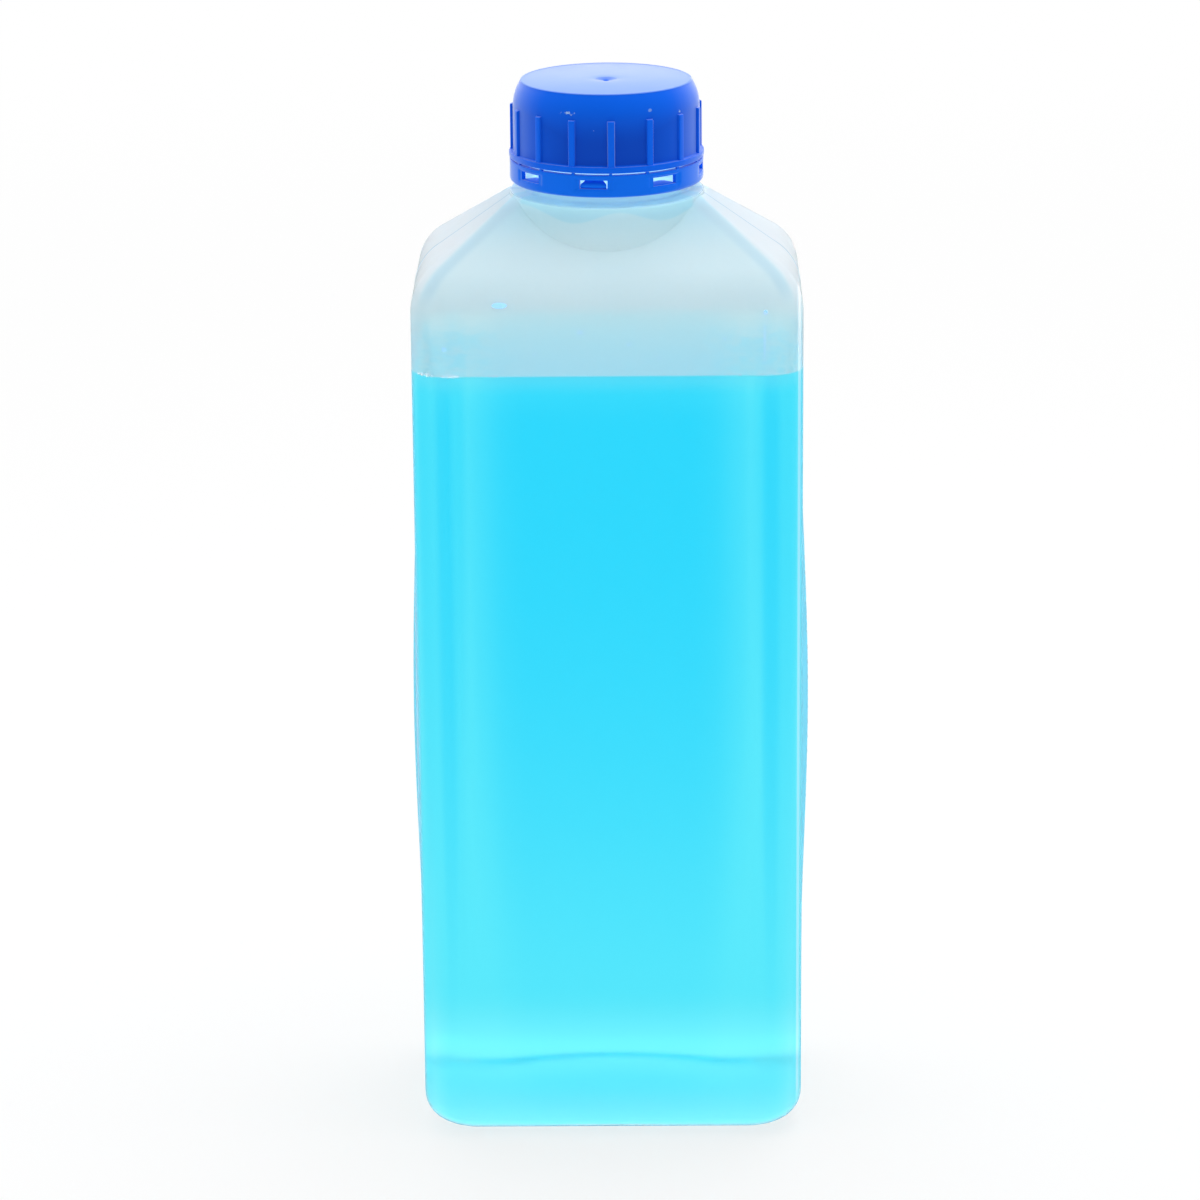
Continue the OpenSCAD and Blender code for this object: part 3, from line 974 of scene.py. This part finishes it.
def wet_colour(n, x, y, z, grazed):
    """Wet plastic with painted light: paler in the foot and down the corners, bluer seen edge on."""
    corner = step_mm(n, from_corner(n, x, y), 7, 0)
    beside = times(n, step_mm(n, z, 120, 10), 0.55)
    pale = product_sum(n, corner, beside, step_mm(n, z, 16, 1), clamped=True)
    return tint(n, grazed, tint(n, pale, WET_COLOUR, FOOT_LIGHT_COLOUR), GRAZED_WALL_LIGHT_COLOUR)


def shell_glow(n, z, at_edge):
    """Strength of the faint light in the skirt, in the neck below the cap and along the edge lines."""
    skirt = times(n, step_mm(n, z, LEDGE_Z - 3, LEDGE_Z), SKIRT_GLOW_SHARE)
    neck = times(n, step_mm(n, z, BAND_Z, BAND_Z + 1), NECK_GLOW_SHARE)
    glow = times(n, plus(n, skirt, neck), step_mm(n, z, FLANGE_Z + 2.5, FLANGE_Z))
    return plus(n, glow, times(n, at_edge, EDGE_GLOW_SHARE))


def shell_material():
    """Natural polyethylene: hazy where it is dry, clear where the liquid wets it, painted blue light near the
    cap.
    """
    material, n = new_material("natural_hdpe")
    place, x, y, z = placed(n)
    dry = step_mm(n, z, FILL_Z - 0.3, FILL_Z + 0.3)
    grazed = facing_away(n, *GRAZED_FROM)
    patchy = noise(n, place, 60)
    stretched = n.add("ShaderNodeMapping", in_0=place, in_3=STIPPLE_STRETCH).outputs[0]
    stipple = noise(n, stretched, 900, 2.0)
    beads = condensation(n, x, y, z)
    cloud = times(n, step_mm(n, z, FILL_Z - CLOUD_H, FILL_Z), CLOUD_SHARE)
    wet_clear = blend(n, grazed, minus(n, WET_CLEAR, cloud), GRAZED_CLEAR)
    beaded = times(n, smooth_step(n, stipple, 0.3, 0.7), beads)
    dry_clear = plus(n, blend(n, patchy, *DRY_CLEAR), times(n, beaded, BEADED_CLEAR))
    dim = times(n, smooth_step(n, stipple, 0.42, 0.6), beads)
    at_edge = edge_line(n, x, y, z)
    surface(n, {
        "IOR": 1.04,
        "Base Color": tint(n, dry, wet_colour(n, x, y, z, grazed), dry_colour(n, x, y, z, dim)),
        "Roughness": blend(n, dry, *SHELL_ROUGH),
        "Transmission Weight": blend(n, dry, wet_clear, dry_clear),
        "Emission Color": tint(n, at_edge, NECK_GLOW, tint(n, dry, EDGE_GLOW, DRY_EDGE_GLOW)),
        "Emission Strength": shell_glow(n, z, at_edge),
        "Normal": bump(n, stipple, STIPPLE_DEPTH, bump(n, patchy, PATCH_DEPTH)),
    })
    return material


# What the liquid takes from red, green and blue light, per metre, and its surface's colour where it is
# deep and where it is pale
COOLANT_TAKES = (16.6, 0.45, 0.03)
COOLANT_DEEP = (0.17, 0.84, 1.0)
COOLANT_PALE = (1.0, 1.0, 1.0)
# Roughness of its surface above the foot and in the foot
COOLANT_ROUGH = (0.1, 0.3)
# Light that the foot scatters, and more of it where the base meets the heel
FOOT_GLOW = (0.16, 0.75, 1.0)
FOOT_GLOW_SHARE = 0.06
HEEL_GLOW_SHARE = 0.1
# How pale the liquid is at shares of a reach from the upright corners, at shares of its height, and
# just below its line
CORNER_REACH = 25
CORNER_PALE = ((0.0, 0.1), (0.03, 0.2), (0.08, 0.85), (0.2, 0.8), (0.26, 0.1), (0.34, 0.1),
               (0.4, 0.8), (0.55, 0.5), (0.8, 0.1), (1.0, 0.0))
HEIGHT_PALE = ((0.0, 1.0), (0.1, 0.9), (0.22, 0.72), (0.42, 0.35), (0.62, 0.1), (0.8, 0.0), (1.0, 0.0))
LINE_PALE = 0.45
LINE_PALE_H = 12


def coolant_material():
    """Clear cyan liquid, paler towards the base and beside the corners, where more light gets in."""
    material, n = new_material("coolant")
    x, y, z = placed(n)[1:]
    bands = ramp(n, times(n, from_corner(n, x, y), 1 / (CORNER_REACH * MM)), *CORNER_PALE)
    low = ramp(n, times(n, z, 1 / (FILL_Z * MM)), *HEIGHT_PALE)
    top = times(n, step_mm(n, z, FILL_Z - LINE_PALE_H, FILL_Z), LINE_PALE)
    pale = product_sum(n, maths(n, "MAXIMUM", low, top), 1.0, bands, clamped=True)
    heel = times(n, window(n, absolute(n, y), 25.0, 29.5, 2.0), step_mm(n, z, 7, 4))
    foot = times(n, step_mm(n, z, 10, 4), FOOT_GLOW_SHARE)
    out = surface(n, {
        "IOR": 1.12,
        "Base Color": tint(n, pale, COOLANT_DEEP, COOLANT_PALE),
        "Roughness": blend(n, step_mm(n, z, 24, 10), *COOLANT_ROUGH),
        "Transmission Weight": 1.0,
        "Emission Color": FOOT_GLOW,
        "Emission Strength": plus(n, foot, times(n, heel, HEEL_GLOW_SHARE)),
    })
    density = max(COOLANT_TAKES) * 1.01
    through = tuple(1 - take / density for take in COOLANT_TAKES)
    inside = n.add("ShaderNodeVolumeAbsorption", in_0=rgba(through), in_1=density)
    n.fill(out.inputs["Volume"], inside.outputs[0])
    return material


# The cap's blue where painted light falls, and its painted shade between the ribs and low on the wall
CAP_COLOUR = (0.003, 0.14, 0.93)
CAP_SHADE = (0.003, 0.07, 0.58)
# Painted light: the cap's top paler, for the light and sheen it catches
TOP_LIT_COLOUR = (0.1, 0.26, 0.9)
# Painted shade: the gate dimple bluer, where its walls catch less sheen
DIMPLE_SHADE_COLOUR = (0.03, 0.34, 0.88)
# Painted sheen: paler where the cap is seen edge on
GRAZED_SHEEN_COLOUR = (0.45, 0.62, 0.95)
GRAZED_SHEEN_SHARE = 0.2
# Painted light: the band a brighter blue than the cap, for the light that passes through it
BAND_LIT_COLOUR = (0.004, 0.175, 1.0)
SCUFF_COLOUR = (0.36, 0.55, 0.9)
SHEEN_TINT = (0.96, 0.99, 1.0)
CAP_ROUGH = (0.3, 0.42)
SCUFF_ROUGH = 0.75
GRAIN_DEPTH = 0.01
TOP_DOME = 1.0
# Scuffs on the cap: turn from the front, then height, half width and half height in millimetres
SCUFFS = ((-24.0, 247.0, 3.4, 0.8), (51.5, 246.0, 1.2, 1.1), (-7.0, 243.2, 0.4, 0.3), (75.0, 240.0, 0.9, 1.6))


def scuff_mask(n, place):
    """Small scraped patches, broken up by noise, and a few pale specks all over."""
    mask = times(n, smooth_step(n, noise(n, place, 330, 1.0), 0.76, 0.8), 0.5)
    grain = noise(n, place, 1300, 4.0, 0.7)
    for turn, z, half_w, half_h in SCUFFS:
        angle = float(front_turn(turn))
        at = Vector((CAP_R * math.cos(angle), CAP_R * math.sin(angle), z)) * MM
        away = n.add("ShaderNodeMapping", vector_type="TEXTURE", in_0=place, in_1=at, in_2=(0, 0, angle),
                     in_3=(2 * MM, half_w * MM, half_h * MM)).outputs[0]
        distance = n.add("ShaderNodeVectorMath", operation="LENGTH", in_0=away).outputs["Value"]
        near = minus(n, 1.0, distance)
        patch = smooth_step(n, plus(n, times(n, near, 0.4), grain), 0.76, 0.9)
        patch = times(n, patch, maths(n, "GREATER_THAN", near, 0.0))
        mask = maths(n, "MAXIMUM", mask, patch)
    return mask


def cap_lit(n, x, z, r):
    """Where the cap is lit: its taper, its sides, its foot, its ribs and its bore."""
    flange_top = FLANGE_Z + FLANGE_H
    lit = step_mm(n, z, flange_top + 4.5, CAP_TOP_Z - 1)
    for other in (times(n, step_mm(n, absolute(n, x), 6, 20), 0.55),
                  step_mm(n, z, flange_top + 0.6, flange_top),
                  step_mm(n, r, CAP_R + 0.15, CAP_R + 0.6),
                  step_mm(n, r, CAP_BORE_R + 0.5, CAP_BORE_R)):
        lit = maths(n, "MAXIMUM", lit, other)
    return lit


def cap_material(name, main_colour, scuffed):
    """Satin blue moulding: painted shade between the ribs, painted light on top and edge on, a few pale
    scuffs on the cap.
    """
    material, n = new_material(name)
    place, x, y, z = placed(n)
    r = maths(n, "SQRT", plus(n, times(n, x, x), times(n, y, y)))
    on_top = maths(n, "GREATER_THAN", z, (CAP_TOP_Z - 0.2) * MM)
    colour = tint(n, cap_lit(n, x, z, r), CAP_SHADE, main_colour)
    colour = tint(n, on_top, colour, TOP_LIT_COLOUR)
    colour = tint(n, times(n, facing_away(n, 0.25, 0.75), GRAZED_SHEEN_SHARE), colour, GRAZED_SHEEN_COLOUR)
    colour = tint(n, times(n, on_top, step_mm(n, r, 2.6, 1.2)), colour, DIMPLE_SHADE_COLOUR)
    rough = blend(n, noise(n, place, 150), *CAP_ROUGH)
    if scuffed:
        mask = scuff_mask(n, place)
        colour = tint(n, mask, colour, SCUFF_COLOUR)
        rough = blend(n, mask, rough, SCUFF_ROUGH)
    inward = maths(n, "DIVIDE", r, (CAP_R - TAPER_IN) * MM)
    dome = times(n, minus(n, 1.0, times(n, inward, inward)), on_top)
    surface(n, {
        "IOR": 1.5,
        "Base Color": colour,
        "Roughness": rough,
        "Specular IOR Level": 0.05,
        "Sheen Weight": 0.9,
        "Sheen Roughness": 0.24,
        "Sheen Tint": SHEEN_TINT,
        "Normal": bump(n, noise(n, place, 900, 2.0), GRAIN_DEPTH, bump(n, dome, TOP_DOME)),
    })
    return material


def bead_material():
    """Nearly clear liquid in thin beads, with a faint painted glow."""
    material, n = new_material("coolant_beads")
    place = placed(n)[0]
    surface(n, {
        "IOR": 1.1,
        "Base Color": tint(n, noise(n, place, 400), (0.45, 0.74, 1.0), (0.55, 0.84, 1.0)),
        "Roughness": 0.1,
        "Transmission Weight": 0.6,
        "Emission Color": (0.3, 0.5, 0.9),
        "Emission Strength": 0.32,
    })
    return material


def foam_material():
    """Fine bubbles on the liquid's line, with painted white highlights and a faint painted glow."""
    material, n = new_material("bubble_film")
    highlight_speckle = smooth_step(n, noise(n, placed(n)[0], 1500), 0.4, 0.62)
    surface(n, {
        "IOR": 1.2,
        "Base Color": tint(n, highlight_speckle, (0.5, 0.86, 0.97), (1.0, 1.0, 1.0)),
        "Roughness": 0.1,
        "Transmission Weight": 0.45,
        "Emission Color": (1.0, 1.0, 1.0),
        "Emission Strength": 0.14,
    })
    return material


def liner_material():
    """Off-white foam sheet with fine cells and faint darker flecks."""
    material, n = new_material("liner_foam")
    place = placed(n)[0]
    flecks = smooth_step(n, noise(n, place, 700), 0.35, 0.6)
    surface(n, {
        "Base Color": tint(n, flecks, (0.78, 0.78, 0.74), (0.88, 0.88, 0.85)),
        "Roughness": 0.6,
        "Normal": bump(n, noise(n, place, 2500, 2.0), 0.03),
    })
    return material


BEAD = bead_material()
FOAM = foam_material()
LINER = liner_material()
SHELL = shell_material()
COOLANT = coolant_material()
CAP = cap_material("blue_cap", CAP_COLOUR, True)
BAND = cap_material("blue_band", BAND_LIT_COLOUR, False)

bottle = make_piece("blown_bottle", *loft(bottle_rings()), SHELL, "bottle", "natural_hdpe")
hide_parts("bottle")
liquid = make_piece("liquid", *loft(coolant_rings()), COOLANT, "bottle", "coolant")
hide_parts("coolant")
make_piece("droplets", *droplet_parts(), BEAD, "bottle", "coolant")
make_piece("line_bubbles", *bubble_parts(), FOAM, "bottle", "coolant")
make_piece("level_marks", *tick_parts(), SHELL, "bottle", "natural_hdpe")
ribbed_cap = make_piece("ribbed_cap", *loft(cap_rings()), CAP, "cap", "blue_cap")
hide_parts("cap")
band = make_piece("window_band", *band_parts(), BAND, "bottle", "blue_cap")
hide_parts("tamper_band")
liner = make_piece("sealing_disc", *loft(liner_rings()), LINER, "liner", "liner_foam")
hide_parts("cap_liner")


# Light from all round: between which shares towards the back it grows, and from and to which strength
WORLD_AROUND = (-0.9, 0.5, 0.4, 1.2)
WORLD_BEHIND = (0.7, 0.95, 0.0, 0.9)

# Camera as fitted to the photo: place in millimetres; yaw, pitch and roll in degrees
CAMERA_AT = (10.2, -1146.8, 469.3)
CAMERA_TURNS = (0.63, 16.71, -0.49)
FOCAL_PIXELS = 5010.5
PHOTO_PIXELS = 1200
SENSOR_MM = 36.0


def make_camera():
    data = bpy.data.cameras.new("camera")
    data.sensor_width = SENSOR_MM
    data.lens = FOCAL_PIXELS / PHOTO_PIXELS * SENSOR_MM
    data.clip_start, data.clip_end = 0.05, 20
    camera = add_object("camera", data)
    yaw, pitch, roll = (math.radians(a) for a in CAMERA_TURNS)
    turn = Matrix.Rotation(yaw, 4, "Z") @ Matrix.Rotation(math.pi / 2 - pitch, 4, "X")
    turn = turn @ Matrix.Rotation(roll, 4, "Z")
    camera.matrix_world = Matrix.Translation(Vector(CAMERA_AT) * MM) @ turn
    SCENE.camera = camera


def make_world():
    """Light from all round, stronger from behind, and plain white where it is seen or seen through."""
    world = bpy.data.worlds.new("studio")
    world.use_nodes = True
    SCENE.world = world
    n = Nodes(world.node_tree)
    path = n.add("ShaderNodeLightPath")
    toward = n.add("ShaderNodeTexCoord").outputs["Generated"]
    y = n.add("ShaderNodeSeparateXYZ", in_0=toward).outputs["Y"]
    levels = []
    for start, end, low, high in (WORLD_AROUND, WORLD_BEHIND):
        level = n.add("ShaderNodeMapRange", in_0=y, in_1=start, in_2=end, in_3=low, in_4=high)
        levels.append(level.outputs[0])
    level = plus(n, *levels)
    lit = n.add("ShaderNodeBackground", in_0=(1, 1, 1, 1), in_1=level)
    seen = n.add("ShaderNodeBackground", in_0=(1, 1, 1, 1), in_1=1.0)
    through = maths(n, "MAXIMUM", path.outputs["Is Camera Ray"], path.outputs["Is Transmission Ray"])
    mix = n.add("ShaderNodeMixShader", in_0=through, in_1=lit.outputs[0], in_2=seen.outputs[0])
    n.named("ShaderNodeOutputWorld", {"Surface": mix.outputs[0]})


# The floor's half width, and how its shadow fades with the distance from the bottle, in metres
FLOOR_HALF = 12.0
SHADOW_REACH = (0.5, 1.4)
SHADOW_SHARE = 0.25


def make_floor():
    """White floor: it keeps a soft shadow near the bottle and fades to plain white further out."""
    mesh = bpy.data.meshes.new("floor")
    corners = [(x * FLOOR_HALF, y * FLOOR_HALF, 0) for x, y in ((-1, -1), (1, -1), (1, 1), (-1, 1))]
    mesh.from_pydata(corners, [], [(0, 1, 2, 3)])
    floor = add_object("floor", mesh)
    material, n = new_material("floor")
    path = n.add("ShaderNodeLightPath")
    place = n.add("ShaderNodeTexCoord").outputs["Object"]
    distance = n.add("ShaderNodeVectorMath", operation="LENGTH", in_0=place).outputs["Value"]
    far = smooth_step(n, distance, *SHADOW_REACH)
    paper = n.add("ShaderNodeBsdfDiffuse", in_0=(0.9, 0.9, 0.9, 1))
    white = n.add("ShaderNodeEmission", in_0=(1, 1, 1, 1), in_1=1.0)
    seen = blend(n, far, 1 - SHADOW_SHARE, 1.0)
    seen = times(n, seen, path.outputs["Is Camera Ray"])
    share = maths(n, "MAXIMUM", seen, path.outputs["Is Transmission Ray"])
    mix = n.add("ShaderNodeMixShader", in_0=share, in_1=paper.outputs[0], in_2=white.outputs[0])
    n.named("ShaderNodeOutputMaterial", {"Surface": mix.outputs[0]})
    mesh.materials.append(material)


def make_light(name, place, energy, size):
    """An area light that faces the middle of the bottle; place and size in metres."""
    data = bpy.data.lights.new(name, "AREA")
    data.energy = energy
    data.size = size
    light = add_object(name, data)
    light.location = place
    aim = Vector((0, 0, AIM_HEIGHT)) - Vector(place)
    light.rotation_mode = "QUATERNION"
    light.rotation_quaternion = aim.to_track_quat("-Z", "Y")


# Where the light faces, in metres above the floor
AIM_HEIGHT = 0.12

make_camera()
make_world()
make_floor()
make_light("top_light", (0.2, 0.1, 1.2), energy=4, size=0.8)

view = SCENE.view_settings
view.view_transform = "Standard"
